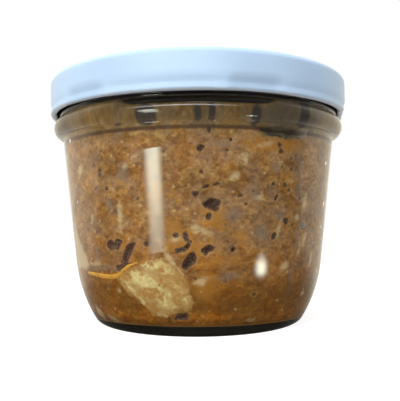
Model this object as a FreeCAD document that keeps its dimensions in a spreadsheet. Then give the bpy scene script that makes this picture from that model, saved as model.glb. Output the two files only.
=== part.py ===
import FreeCAD, Part
import math
import os

import Sketcher

# A low tapered glass jar with a twist-off lid, filled with potted duck.
# Millimetres. The jar stands on z = 0 and +Z runs up its axis.

SIZES = (
    # the glass, outside
    ("neck_radius", 39.9, "outer radius of the neck under the lid"),
    ("shoulder_height", 51.3, "height at which the wall ends and the bead starts"),
    ("shoulder_step", 0.75, "how much narrower than the neck the wall ends"),
    ("taper_angle", 6.06, "lean of the wall from upright, degrees"),
    ("heel_top", 17.2, "height at which the wall runs into the heel"),
    ("heel_radius", 37.0, "large arc of the heel"),
    ("corner_radius", 3.5, "rounding between the heel and the foot"),
    ("foot_width", 2.6, "width of the ring that the jar rests on"),
    ("push_up", 1.3, "rise of the underside at the axis"),
    ("bead_rise", 3.7, "middle of the bead ring, above the shoulder"),
    ("bead_reach", 1.9, "how far the bead stands out beyond the neck"),
    ("bead_section", 2.8, "radius of the bead's round section"),
    ("rim_round", 1.0, "rounding of the rim, inside and out"),
    # the glass, inside
    ("wall", 2.4, "thickness of the wall"),
    ("neck_wall", 2.6, "thickness of the neck"),
    ("floor_height", 3.4, "inner floor of the jar"),
    ("floor_corner", 4.0, "rounding between the floor and the inner heel"),
    # the thread: short ridges that rise round the neck
    ("lug_count", 6, "lugs of the lid, and thread ridges that hold them"),
    ("thread_reach", 1.0, "how far a ridge stands out of the neck"),
    ("thread_foot", 1.5, "height of a ridge where it leaves the neck"),
    ("thread_crest", 0.6, "height of its outer face"),
    ("thread_pitch", 9.5, "rise of a ridge in a whole turn"),
    ("thread_sweep", 52.0, "arc that a ridge covers, degrees"),
    ("thread_root", 0.3, "depth at which a ridge is rooted in the neck"),
    ("lug_azimuth", -11.0, "middle of the first lug, degrees from +X"),
    ("lug_lead", 8.0, "arc from a ridge's low end to the middle of its lug, degrees"),
    # the lid: lacquered tinplate
    ("gauge", 0.25, "thickness of the tinplate"),
    ("curl_clearance", 0.25, "from the thread to the lid's rolled edge"),
    ("skirt_height", 10.2, "full height of the lid"),
    ("lid_gap", 0.6, "from the bead up to the lid"),
    ("lid_round", 1.7, "rounding between the top and the skirt"),
    ("waist", 0.25, "how much the skirt draws in above its curl"),
    ("curl_radius", 0.8, "radius of the rolled edge"),
    ("panel_inset", 4.3, "from the bore in to the sunk middle of the top"),
    ("panel_drop", 1.0, "depth of the sunk middle"),
    ("panel_step", 1.4, "width of the slope round it"),
    ("button_radius", 11.0, "safety button in the middle"),
    ("button_rise", 0.35, "height of the button"),
    ("button_slope", 2.0, "width of the slope round the button"),
    ("lug_clearance", 0.3, "from the neck to the tip of a lug"),
    ("lug_thickness", 0.9, "height of a lug"),
    ("lug_rise", 0.2, "from the lid's lowest point to a lug"),
    ("lug_width", 18.0, "arc that a lug covers, degrees"),
    ("lug_seat", 0.2, "gap between a lug and the ridge above it"),
    # the sealing ring in the lid
    ("gasket_height", 1.35, "from the rim to the underside of the lid"),
    ("gasket_overlap", 0.6, "how far the ring passes the rim on each side"),
    # the filling
    ("headspace", 11.7, "from the rim down to the top of the filling"),
    ("dip_azimuth", -50.0, "where the filling has sunk, degrees from +X"),
    ("dip_half_length", 13.0, "half length of the hollow, along the wall"),
    ("dip_half_height", 7.3, "depth of the hollow"),
    ("dip_half_depth", 7.0, "how far it runs in from the wall"),
    # a lump of pale fat and a strip of yellow fat that lie against the glass
    ("chunk_azimuth", -106.0, "middle of the lump, degrees from +X"),
    ("chunk_height", 12.4, "height of its middle"),
    ("chunk_inset", 7.6, "its middle, in from the shoulder"),
    ("chunk_half_length", 10.5, "half length"),
    ("chunk_half_height", 6.1, "half height"),
    ("chunk_half_depth", 5.0, "half depth, along the radius"),
    ("chunk_tilt", 25.0, "how much it slopes down to the right, degrees"),
    ("strip_azimuth", -136.0, "middle of the strip, degrees from +X"),
    ("strip_height", 15.9, "height of its middle"),
    ("strip_inset", 6.3, "its middle, in from the shoulder"),
    ("strip_length", 12.0, "length along the wall"),
    ("strip_thickness", 1.3, "height of the band"),
    ("strip_depth", 6.0, "depth along the radius, half of it inside the glass"),
    ("strip_tilt", 6.0, "how much it slopes down to the right, degrees"),
)
SIZE = {alias: value for alias, value, _ in SIZES}

# places that several pieces share, as sums of the sizes above
SHOULDER = "neck_radius - shoulder_step"
BORE = "neck_radius - neck_wall"
LID_BOTTOM = "shoulder_height + bead_rise + bead_section + lid_gap"
LID_TOP = f"{LID_BOTTOM} + skirt_height"
RIM = f"{LID_TOP} - gauge - gasket_height"
FILL_LEVEL = f"{RIM} - headspace"
LUG_TOP = f"{LID_BOTTOM} + lug_rise + lug_thickness"
CURL_MIDDLE = "neck_radius + thread_reach + curl_clearance + curl_radius"
SKIRT_OUTSIDE = f"{CURL_MIDDLE} + curl_radius"
SKIRT_INSIDE = f"{SKIRT_OUTSIDE} - gauge"

START, END, CENTRE = 1, 2, 3  # the points of a line or an arc in a sketch
ORIGIN = (-1, 1)
X_AXIS, Z_AXIS = -1, -2
UP = FreeCAD.Vector(0, 0, 1)


def signed(words):
    """The terms of a sum such as "wall + gauge - waist", each with its sign."""
    sign = 1
    for word in words.split():
        if word in "+-":
            sign = 1 if word == "+" else -1
        else:
            yield sign, word


def worth(words):
    return sum(sign * SIZE[word] for sign, word in signed(words))


def bound(words):
    """The same sum as an expression over the sheet."""
    return " ".join(word if word in "+-" else f"<<Sizes>>.{word}" for word in words.split())


def fill_sheet(doc):
    sheet = doc.addObject("Spreadsheet::Sheet", "Sizes")
    for row, (alias, value, meaning) in enumerate(SIZES, start=1):
        sheet.set(f"A{row}", meaning)
        sheet.set(f"B{row}", str(value))
        sheet.setAlias(f"B{row}", alias)
    doc.recompute()


# sketches: each lies in the XZ plane, so that its x is a radius and its y a height


def flat_point(x, z):
    return FreeCAD.Vector(x, z, 0)


def new_sketch(body, label):
    sketch = body.newObject("Sketcher::SketchObject", label)
    plane = next(item for item in body.Origin.OriginFeatures if item.Role == "XZ_Plane")
    sketch.AttachmentSupport = (plane, [""])
    sketch.MapMode = "FlatFace"
    return sketch


def add_line(sketch, start, end):
    return sketch.addGeometry(Part.LineSegment(flat_point(*start), flat_point(*end)))


def add_arc(sketch, centre, radius, start_angle, end_angle):
    circle = Part.Circle(flat_point(*centre), UP, radius)
    return sketch.addGeometry(Part.ArcOfCircle(circle, start_angle, end_angle))


def hold(sketch, kind, where, words):
    """A constraint whose value is bound to the sheet."""
    index = sketch.addConstraint(Sketcher.Constraint(kind, *where, worth(words)))
    sketch.setExpression(f"Constraints[{index}]", bound(words))


def pin(sketch, item, point, x_words, z_words):
    """Place a point at a radius and a height; empty words put it on the axis or the floor."""
    for kind, words, axis in (("DistanceX", x_words, Z_AXIS), ("DistanceY", z_words, X_AXIS)):
        if words:
            hold(sketch, kind, (*ORIGIN, item, point), words)
        else:
            sketch.addConstraint(Sketcher.Constraint("PointOnObject", item, point, axis))


def meet(sketch, first, first_point, second, second_point, kind="Coincident"):
    sketch.addConstraint(Sketcher.Constraint(kind, first, first_point, second, second_point))


def place_of(corner):
    return worth(corner[0]), worth(corner[1])


def point_of(sketch, line, point):
    place = sketch.Geometry[line].StartPoint if point == START else sketch.Geometry[line].EndPoint
    return place.x, place.y


def chain(sketch, corners):
    """Lines through the corners, each pinned; gives the lines in order."""
    lines = []
    for before, after in zip(corners, corners[1:]):
        line = add_line(sketch, place_of(before), place_of(after))
        if lines:
            meet(sketch, lines[-1], END, line, START)
        else:
            pin(sketch, line, START, *before)
        pin(sketch, line, END, *after)
        lines.append(line)
    return lines


def close_chain(sketch, corners):
    """A closed outline through the corners."""
    lines = chain(sketch, corners)
    last = add_line(sketch, place_of(corners[-1]), place_of(corners[0]))
    meet(sketch, lines[-1], END, last, START)
    meet(sketch, last, END, lines[0], START)


def quarter(sketch, centre, radius_words, start_angle, before, after):
    """A quarter round between the ends of two lines, given as (item, point) pairs."""
    arc = add_arc(sketch, place_of(centre), worth(radius_words), start_angle, start_angle + math.pi / 2)
    meet(sketch, *before, arc, START)
    meet(sketch, *after, arc, END)
    hold(sketch, "Radius", (arc,), radius_words)
    return arc


def lean_of_wall(sketch, line):
    """Give a line, drawn upwards, the lean of the wall."""
    angle = math.radians(90 - SIZE["taper_angle"])
    index = sketch.addConstraint(Sketcher.Constraint("Angle", line, angle))
    sketch.setExpression(f"Constraints[{index}]", f"90 deg - {bound('taper_angle')} * 1 deg")


def wall_lean():
    return math.radians(SIZE["taper_angle"])


def heel_centre():
    """The heel is tangent to the leaning wall at the height where it starts."""
    lean, radius = wall_lean(), SIZE["heel_radius"]
    wall_radius = worth(SHOULDER) - (SIZE["shoulder_height"] - SIZE["heel_top"]) * math.tan(lean)
    return wall_radius - radius * math.cos(lean), SIZE["heel_top"] + radius * math.sin(lean)


def rounding(heel_radius, radius, height):
    """Centre of a rounding between the heel and a level floor, and the angle where they meet."""
    x, z = heel_centre()
    drop = z - height - radius
    run = math.sqrt((heel_radius - radius) ** 2 - drop**2)
    return (x + run, height + radius), math.atan2(-drop, run)


def on_heel(radius, angle):
    x, z = heel_centre()
    return x + radius * math.cos(angle), z + radius * math.sin(angle)


def draw_heel(sketch):
    """The outside from the foot up to the shoulder; gives the foot's line, heel arc and wall's line."""
    heel_radius, corner_radius, width = SIZE["heel_radius"], SIZE["corner_radius"], SIZE["foot_width"]
    corner_centre, split = rounding(heel_radius, corner_radius, 0)
    foot = add_line(sketch, (corner_centre[0] - width, 0), (corner_centre[0], 0))
    corner = add_arc(sketch, corner_centre, corner_radius, -math.pi / 2, split)
    heel = add_arc(sketch, heel_centre(), heel_radius, split, -wall_lean())
    wall = add_line(sketch, on_heel(heel_radius, -wall_lean()), place_of((SHOULDER, "shoulder_height")))
    for point in (START, END):
        sketch.addConstraint(Sketcher.Constraint("PointOnObject", foot, point, X_AXIS))
    hold(sketch, "DistanceX", (foot, START, foot, END), "foot_width")
    meet(sketch, foot, END, corner, START, "Tangent")
    meet(sketch, corner, END, heel, START, "Tangent")
    meet(sketch, heel, END, wall, START, "Tangent")
    hold(sketch, "Radius", (corner,), "corner_radius")
    hold(sketch, "Radius", (heel,), "heel_radius")
    hold(sketch, "DistanceY", (*ORIGIN, wall, START), "heel_top")
    pin(sketch, wall, END, SHOULDER, "shoulder_height")
    lean_of_wall(sketch, wall)
    return foot, corner, heel, wall


def draw_outside(sketch):
    """Half section of the jar as if it were solid glass."""
    foot, _, _, wall = draw_heel(sketch)
    push_up = SIZE["push_up"]
    foot_inner = point_of(sketch, foot, START)[0]
    dome = (foot_inner**2 + push_up**2) / (2 * push_up)
    foot_angle = math.atan2(dome - push_up, foot_inner)
    underside = add_arc(sketch, (0, push_up - dome), dome, foot_angle, math.pi / 2)
    meet(sketch, underside, START, foot, START)
    pin(sketch, underside, END, "", "push_up")
    sketch.addConstraint(Sketcher.Constraint("PointOnObject", underside, CENTRE, Z_AXIS))

    # the bead is part of a round section that the wall and the neck run into
    middle = ("neck_radius + bead_reach - bead_section", "shoulder_height + bead_rise")
    neck_end = ("neck_radius", f"{RIM} - rim_round")
    x, z = place_of(middle)
    section = SIZE["bead_section"]
    low = -math.acos((worth(SHOULDER) - x) / section)
    high = math.acos((SIZE["neck_radius"] - x) / section)
    collar_top = (worth(SHOULDER), z + section * math.sin(low))
    collar = add_line(sketch, place_of((SHOULDER, "shoulder_height")), collar_top)
    bead = add_arc(sketch, (x, z), section, low, high)
    neck = add_line(sketch, (SIZE["neck_radius"], z + section * math.sin(high)), place_of(neck_end))
    meet(sketch, wall, END, collar, START)
    sketch.addConstraint(Sketcher.Constraint("Vertical", collar))
    meet(sketch, collar, END, bead, START)
    meet(sketch, bead, END, neck, START)
    hold(sketch, "Radius", (bead,), "bead_section")
    pin(sketch, bead, CENTRE, *middle)
    sketch.addConstraint(Sketcher.Constraint("Vertical", neck))
    pin(sketch, neck, END, *neck_end)

    corners = (("neck_radius - rim_round", RIM), ("", RIM), ("", "push_up"))
    top = chain(sketch, corners)[0]
    rim_centre = ("neck_radius - rim_round", f"{RIM} - rim_round")
    quarter(sketch, rim_centre, "rim_round", 0, (neck, END), (top, START))


def draw_cavity(sketch):
    """Half section of the space in the jar: the outside's heel and wall, set in by the wall."""
    outside = draw_heel(sketch)
    for item in outside:
        sketch.setConstruction(item, True)
    outer_heel, outer_wall = outside[-2:]

    lean = wall_lean()
    radius, floor, floor_corner = worth("heel_radius - wall"), SIZE["floor_height"], SIZE["floor_corner"]
    corner_centre, split = rounding(radius, floor_corner, floor)
    wall_foot = on_heel(radius, -lean)
    bore_foot = (worth(BORE), wall_foot[1] + (worth(BORE) - wall_foot[0]) / math.tan(lean))
    bore_end = (BORE, f"{RIM} - rim_round")

    floor_line = add_line(sketch, (0, floor), (corner_centre[0], floor))
    corner = add_arc(sketch, corner_centre, floor_corner, -math.pi / 2, split)
    heel = add_arc(sketch, heel_centre(), radius, split, -lean)
    wall = add_line(sketch, wall_foot, bore_foot)
    neck = add_line(sketch, bore_foot, place_of(bore_end))
    pin(sketch, floor_line, START, "", "floor_height")
    sketch.addConstraint(Sketcher.Constraint("Horizontal", floor_line))
    meet(sketch, floor_line, END, corner, START, "Tangent")
    meet(sketch, corner, END, heel, START, "Tangent")
    meet(sketch, heel, END, wall, START, "Tangent")
    meet(sketch, wall, END, neck, START)
    meet(sketch, heel, CENTRE, outer_heel, CENTRE)
    sketch.addConstraint(Sketcher.Constraint("Parallel", wall, outer_wall))
    hold(sketch, "Radius", (heel,), "heel_radius - wall")
    hold(sketch, "Radius", (corner,), "floor_corner")
    sketch.addConstraint(Sketcher.Constraint("Vertical", neck))
    pin(sketch, neck, END, *bore_end)

    corners = ((f"{BORE} + rim_round", RIM), ("", RIM), ("", "floor_height"))
    top = chain(sketch, corners)[0]
    rim_centre = (f"{BORE} + rim_round", f"{RIM} - rim_round")
    quarter(sketch, rim_centre, "rim_round", math.pi / 2, (top, START), (neck, END))


def draw_thread(sketch):
    """Section of a ridge at its low end, just above the lug that it holds."""
    root = "neck_radius - thread_root"
    crest = "neck_radius + thread_reach"
    foot = f"{LUG_TOP} + lug_seat"
    corners = (
        (root, foot),
        (crest, foot),
        (crest, f"{foot} + thread_crest"),
        (root, f"{foot} + thread_foot"),
    )
    close_chain(sketch, corners)


def draw_sheet(sketch):
    """Half section of the lid's tinplate, from the button out and down to the curl."""
    panel = f"{LID_TOP} - panel_drop"
    curl_middle = f"{LID_BOTTOM} + curl_radius"
    top = (
        ("", f"{panel} + button_rise"),
        ("button_radius - button_slope", f"{panel} + button_rise"),
        ("button_radius", panel),
        (f"{BORE} - panel_inset", panel),
        (f"{BORE} - panel_inset + panel_step", LID_TOP),
        (f"{SKIRT_OUTSIDE} - lid_round", LID_TOP),
    )
    under = tuple((x, f"{z} - gauge") for x, z in reversed(top))
    outer_top = chain(sketch, top)
    skirt_top = f"{LID_TOP} - lid_round"
    outer_skirt = chain(sketch, ((SKIRT_OUTSIDE, skirt_top), (f"{SKIRT_OUTSIDE} - waist", curl_middle)))
    inner_skirt = chain(sketch, ((f"{SKIRT_INSIDE} - waist", curl_middle), (SKIRT_INSIDE, skirt_top)))
    inner_top = chain(sketch, under)
    shoulder = (f"{SKIRT_OUTSIDE} - lid_round", skirt_top)
    quarter(sketch, shoulder, "lid_round", 0, (outer_skirt[0], START), (outer_top[-1], END))
    quarter(sketch, shoulder, "lid_round - gauge", 0, (inner_skirt[-1], END), (inner_top[0], START))
    for first, second in ((outer_skirt[-1], inner_skirt[0]), (inner_top[-1], outer_top[0])):
        joint = add_line(sketch, point_of(sketch, first, END), point_of(sketch, second, START))
        meet(sketch, first, END, joint, START)
        meet(sketch, second, START, joint, END)


def draw_curl(sketch):
    """Section of the rolled edge, whose outside is as wide as the skirt's top."""
    radius = SIZE["curl_radius"]
    centre = (CURL_MIDDLE, f"{LID_BOTTOM} + curl_radius")
    circle = sketch.addGeometry(Part.Circle(flat_point(*place_of(centre)), UP, radius))
    pin(sketch, circle, CENTRE, *centre)
    hold(sketch, "Radius", (circle,), "curl_radius")


def draw_lug(sketch):
    """Section of a lug, from its tip near the neck into the middle of the curl."""
    tip = "neck_radius + lug_clearance"
    foot = f"{LID_BOTTOM} + lug_rise"
    close_chain(sketch, ((tip, foot), (CURL_MIDDLE, foot), (CURL_MIDDLE, LUG_TOP), (tip, LUG_TOP)))


# features


def revolve(body, draw, label, sweep_alias=None):
    sketch = new_sketch(body, f"{label}_section")
    draw(sketch)
    turned = body.newObject("PartDesign::Revolution", label)
    turned.Profile = sketch
    turned.ReferenceAxis = (sketch, ["V_Axis"])
    turned.Angle = 360
    if sweep_alias:
        turned.Midplane = True
        turned.setExpression("Angle", bound(sweep_alias))
    return turned


def repeat_round(body, feature, label):
    pattern = body.newObject("PartDesign::PolarPattern", label)
    pattern.Originals = [feature]
    pattern.Axis = (feature.Profile[0], ["V_Axis"])
    pattern.Angle = 360
    pattern.setExpression("Occurrences", bound("lug_count"))
    body.Tip = pattern


def new_body(doc, label):
    return doc.addObject("PartDesign::Body", label)


def boolean(doc, kind, label, base, tool):
    result = doc.addObject(f"Part::{kind}", label)
    result.Base = base
    result.Tool = tool
    return result


def make_glass(doc, cavity):
    """The jar: solid of the outside, its thread, less the cavity."""
    form = new_body(doc, "glass_form")
    revolve(form, draw_outside, "outside")
    ridge_section = new_sketch(form, "ridge_section")
    draw_thread(ridge_section)
    # turn the section about the jar's axis, to where the first lug closes
    ridge_section.AttachmentOffset = FreeCAD.Placement(FreeCAD.Vector(), FreeCAD.Vector(0, 1, 0), 0)
    turn = f"({bound('lug_azimuth - lug_lead')}) * 1 deg"
    ridge_section.setExpression("AttachmentOffset.Rotation.Angle", turn)
    ridge = form.newObject("PartDesign::AdditiveHelix", "ridge")
    ridge.Profile = ridge_section
    ridge.ReferenceAxis = (ridge_section, ["V_Axis"])
    ridge.Mode = "pitch-turns-angle"
    ridge.setExpression("Pitch", bound("thread_pitch"))
    ridge.setExpression("Turns", f"{bound('thread_sweep')} / 360")
    repeat_round(form, ridge, "ridges")
    boolean(doc, "Cut", "jar", form, cavity)


def make_lid(doc):
    lid = new_body(doc, "lid")
    revolve(lid, draw_sheet, "tinplate")
    revolve(lid, draw_curl, "curl")
    repeat_round(lid, revolve(lid, draw_lug, "lug", "lug_width"), "lugs")
    lid.Placement = FreeCAD.Placement(FreeCAD.Vector(), UP, 0)
    lid.setExpression("Placement.Rotation.Angle", f"{bound('lug_azimuth')} * 1 deg")


def make_disc(doc, label, radius_words, foot_words, height_words):
    disc = doc.addObject("Part::Cylinder", label)
    disc.setExpression("Radius", bound(radius_words))
    disc.setExpression("Height", bound(height_words))
    if foot_words:
        disc.setExpression("Placement.Base.z", bound(foot_words))
    return disc


def make_gasket(doc):
    """The sealing ring fills the lid's rim channel from the glass up to the tinplate."""
    ring = make_disc(doc, "gasket_disc", "neck_radius + gasket_overlap", RIM, "gasket_height")
    hole = make_disc(doc, "gasket_hole", f"{BORE} - gasket_overlap", RIM, "gasket_height")
    boolean(doc, "Cut", "gasket", ring, hole)


def set_at_wall(piece, name, radius_words, height_words):
    """Put the middle of a piece at its azimuth, with its length along the wall and its tilt."""
    azimuth = f"{name}_azimuth"
    along_wall = FreeCAD.Rotation(UP, SIZE[azimuth] + 90)
    tilted = FreeCAD.Rotation(FreeCAD.Vector(0, 1, 0), SIZE.get(f"{name}_tilt", 0))
    piece.Placement = FreeCAD.Placement(FreeCAD.Vector(), along_wall * tilted)
    for axis, turn in (("x", "cos"), ("y", "sin")):
        place = f"({bound(radius_words)}) * {turn}({bound(azimuth)} * 1 deg)"
        piece.setExpression(f"Placement.Base.{axis}", place)
    piece.setExpression("Placement.Base.z", bound(height_words))


def make_lump(doc, name, radius_words, height_words):
    """An ellipsoid at the wall."""
    lump = doc.addObject("Part::Ellipsoid", f"{name}_form")
    lump.setExpression("Radius2", bound(f"{name}_half_length"))
    lump.setExpression("Radius1", bound(f"{name}_half_height"))
    lump.setExpression("Radius3", bound(f"{name}_half_depth"))
    set_at_wall(lump, name, radius_words, height_words)
    return lump


def make_band(doc, name, radius_words, height_words):
    """A flat band at the wall, with its section drawn about its own middle."""
    band = new_body(doc, f"{name}_form")
    section = new_sketch(band, f"{name}_outline")
    half_length, half_thickness = SIZE[f"{name}_length"] / 2, SIZE[f"{name}_thickness"] / 2
    low, high = (-half_length, -half_thickness), (half_length, half_thickness)
    corners = (low, (high[0], low[1]), high, (low[0], high[1]))
    sides = [add_line(section, *pair) for pair in zip(corners, corners[1:] + corners[:1])]
    for before, after in zip(sides, sides[1:] + sides[:1]):
        meet(section, before, END, after, START)
    for side, kind in zip(sides, ("Horizontal", "Vertical") * 2):
        section.addConstraint(Sketcher.Constraint(kind, side))
    section.addConstraint(Sketcher.Constraint("Symmetric", sides[0], START, sides[1], END, *ORIGIN))
    hold(section, "DistanceX", (sides[0], START, sides[0], END), f"{name}_length")
    hold(section, "DistanceY", (sides[1], START, sides[1], END), f"{name}_thickness")
    pad = band.newObject("PartDesign::Pad", f"{name}_pad")
    pad.Profile = section
    pad.Midplane = True
    pad.setExpression("Length", bound(f"{name}_depth"))
    set_at_wall(band, name, radius_words, height_words)
    return band


def make_filling(doc, cavity):
    """The filling up to its level, sunk at one side, and the two pieces of fat in it."""
    level = make_disc(doc, "level_form", "neck_radius", "", FILL_LEVEL)
    whole = boolean(doc, "Common", "filling_form", cavity, level)
    dip = make_lump(doc, "dip", BORE, FILL_LEVEL)
    chunk = make_lump(doc, "chunk", f"{SHOULDER} - chunk_inset", "chunk_height")
    strip = make_band(doc, "strip", f"{SHOULDER} - strip_inset", "strip_height")
    sunk = boolean(doc, "Cut", "sunk_form", whole, dip)
    boolean(doc, "Common", "fat_chunk", sunk, chunk)
    around_chunk = boolean(doc, "Cut", "around_chunk", sunk, chunk)
    boolean(doc, "Common", "fat_strip", around_chunk, strip)
    boolean(doc, "Cut", "rillettes", around_chunk, strip)


NODES = ("jar", "lid", "gasket", "rillettes", "fat_chunk", "fat_strip")


def check(doc):
    """Stop if any object failed or any piece isn't one valid solid."""
    for item in doc.Objects:
        if {"Invalid", "Error"} & set(item.State):
            raise RuntimeError(f"{item.Label} failed: {item.State}")
    for node in NODES:
        shape = doc.getObjectsByLabel(node)[0].Shape
        if shape.isNull() or not shape.isValid() or len(shape.Solids) != 1:
            raise RuntimeError(f"{node} isn't one valid solid")


def main():
    doc = FreeCAD.newDocument("jar_of_rillettes")
    fill_sheet(doc)
    cavity = new_body(doc, "cavity_form")
    revolve(cavity, draw_cavity, "cavity")
    make_glass(doc, cavity)
    make_lid(doc)
    make_gasket(doc)
    make_filling(doc, cavity)
    doc.recompute()
    check(doc)
    os.makedirs("parts", exist_ok=True)
    for node in NODES:
        shape = doc.getObjectsByLabel(node)[0].Shape
        shape.exportStep(f"parts/{node}.step")
        print(f"{node}: {shape.Volume / 1000:.2f} ml")


main()
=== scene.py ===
import math

import bmesh
import bpy
import numpy as np
from bpy.props import FloatProperty, FloatVectorProperty, IntProperty, PointerProperty
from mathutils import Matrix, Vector


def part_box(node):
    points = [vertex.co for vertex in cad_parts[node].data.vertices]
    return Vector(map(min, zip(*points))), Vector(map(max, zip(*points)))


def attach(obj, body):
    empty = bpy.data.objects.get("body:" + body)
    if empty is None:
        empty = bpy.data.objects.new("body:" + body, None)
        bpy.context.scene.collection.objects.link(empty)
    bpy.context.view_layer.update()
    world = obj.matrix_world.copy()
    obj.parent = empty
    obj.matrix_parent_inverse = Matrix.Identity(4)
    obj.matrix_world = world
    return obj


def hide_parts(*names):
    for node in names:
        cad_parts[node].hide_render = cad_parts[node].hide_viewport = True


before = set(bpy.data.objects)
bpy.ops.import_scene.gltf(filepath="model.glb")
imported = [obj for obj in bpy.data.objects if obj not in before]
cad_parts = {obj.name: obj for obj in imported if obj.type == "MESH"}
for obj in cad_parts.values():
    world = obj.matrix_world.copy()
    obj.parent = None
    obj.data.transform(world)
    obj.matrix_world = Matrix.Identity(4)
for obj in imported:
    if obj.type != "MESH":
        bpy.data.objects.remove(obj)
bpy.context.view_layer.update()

bl_info = {
    "name": "Jar of potted duck",
    "version": (1, 0, 0),
    "blender": (4, 5, 0),
    "location": "3D View > Sidebar > Jar",
    "description": "Makes a low glass jar of potted duck with a white twist-off lid",
    "category": "Object",
}

MM = 0.001
BODY = "root"
FRONT = -90.0  # azimuth of the side that shows the lump of fat, degrees from +X
LUGS = 6
THREAD_ZONE = (0.0588, 0.0652)  # heights between which the thread needs a fine mesh
SAME_PLACE = 0.002 * MM  # points closer than this are merged
OUTSIDE = -2.0  # value of a mark's field away from every mark, in mm
FAR = 9.0  # mm, the longest distance from a drawn shape that is told
WALL_SKIN = 0.3  # mm from the glass within which the filling's points carry marks
HEEL_LEVEL = 8  # mm below which they do so at any distance from the glass
UNDERSIDE = 20  # mm from the axis within which they never do
GOLDEN_AND_SHADE = (0.94, 0.69, 0.2)  # what the meat's colour is multiplied by low down: more golden, and darker as painted shade
JAR_STEPS = 240  # steps of each spin about the axis
LID_STEPS = 288
SEAL_STEPS = 180
FILLING_STEPS = 504
FLOOR_HALF = 1.5  # metres
WARM = (1.0, 0.94, 0.8)  # what reflections and refractions see all round


def low(node):
    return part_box(node)[0]


def high(node):
    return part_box(node)[1]


# --- sizes and colours


def a_length(name, description, default):
    return FloatProperty(name=name, description=description, default=default, unit="LENGTH")


def a_turn(name, description, degrees):
    return FloatProperty(name=name, description=description, default=math.radians(degrees), unit="ROTATION")


def a_colour(name, description, default):
    return FloatVectorProperty(name=name, description=description, default=default, subtype="COLOR", size=3)


class JarSizes(bpy.types.PropertyGroup):
    """Sizes of the glass."""

    neck_radius: a_length("Neck radius", "Outside of the neck", 0.0399)
    shoulder_radius: a_length("Shoulder radius", "Top of the leaning wall", 0.03915)
    shoulder_height: a_length("Shoulder height", "Where the wall ends, above the floor", 0.0513)
    lean: a_turn("Lean", "Lean of the wall from upright", 6.06)
    heel_top: a_length("Heel top", "Where the heel starts", 0.0172)
    heel_radius: a_length("Heel radius", "Round of the heel", 0.037)
    corner_radius: a_length("Corner radius", "Round between the heel and the foot", 0.0035)
    foot_width: a_length("Foot width", "Width of the ring it stands on", 0.0026)
    push_up: a_length("Push-up", "Rise of the underside", 0.0013)
    bead_height: a_length("Bead height", "Middle of the bead", 0.055)
    bead_section: a_length("Bead section", "Radius of the bead's round", 0.0028)
    wall: a_length("Wall", "Thickness of the wall", 0.0024)
    bore: a_length("Bore", "Inside radius of the neck", 0.0373)
    rim: a_length("Rim", "Height of the rim", high("jar").z)
    rim_round: a_length("Rim round", "Round of the rim", 0.001)
    floor_height: a_length("Floor height", "Inside floor above the table", 0.0034)
    floor_corner: a_length("Floor corner", "Round inside at the floor", 0.004)
    thread_reach: a_length("Thread reach", "How far a ridge stands out", 0.001)
    thread_foot: a_length("Thread foot", "Height of a ridge at the neck", 0.0015)
    thread_crest: a_length("Thread crest", "Height of a ridge at its crest", 0.0006)
    thread_pitch: a_length("Thread pitch", "Rise in a whole turn", 0.0095)
    thread_sweep: a_turn("Thread sweep", "Arc of one ridge", 52)
    thread_start: a_turn("Thread start", "Azimuth of a ridge's low end", -19)
    thread_height: a_length("Thread height", "Middle of a ridge at its low end", 0.06045)
    tint: a_colour("Glass", "Tint of the glass", (0.99, 0.97, 0.9))


class LidSizes(bpy.types.PropertyGroup):
    """Sizes and colours of the lid."""

    radius: a_length("Radius", "Outside of the skirt", high("lid").x)
    bottom: a_length("Bottom", "Lowest point of the rolled edge", low("lid").z)
    top: a_length("Top", "Top of the lid", high("lid").z)
    gauge: a_length("Gauge", "Thickness of the tinplate", 0.00025)
    curl: a_length("Rolled edge", "Radius of the rolled edge", 0.0008)
    shoulder: a_length("Shoulder", "Round at the top of the skirt", 0.0017)
    waist: a_length("Waist", "How far the skirt draws in above the roll", 0.00025)
    lug_azimuth: a_turn("Lug azimuth", "Middle of one lug", -11)
    lug_width: a_turn("Lug width", "Arc of one lug", 18)
    panel_radius: a_length("Panel radius", "Sunk middle of the lid", 0.033)
    panel_drop: a_length("Panel drop", "Depth of the sunk middle", 0.001)
    button_radius: a_length("Button radius", "Raised middle", 0.011)
    button_rise: a_length("Button rise", "Rise of the middle", 0.00035)
    lacquer: a_colour("Lacquer", "White lacquer", (0.5, 0.67, 0.88))
    # the inside colour is near black: painted shade under the lid
    inside: a_colour("Inside lacquer", "Lacquer inside the lid, painted dark as shade", (0.018, 0.022, 0.042))
    compound: a_colour("Compound", "Sealing compound", (0.06, 0.058, 0.055))


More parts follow.
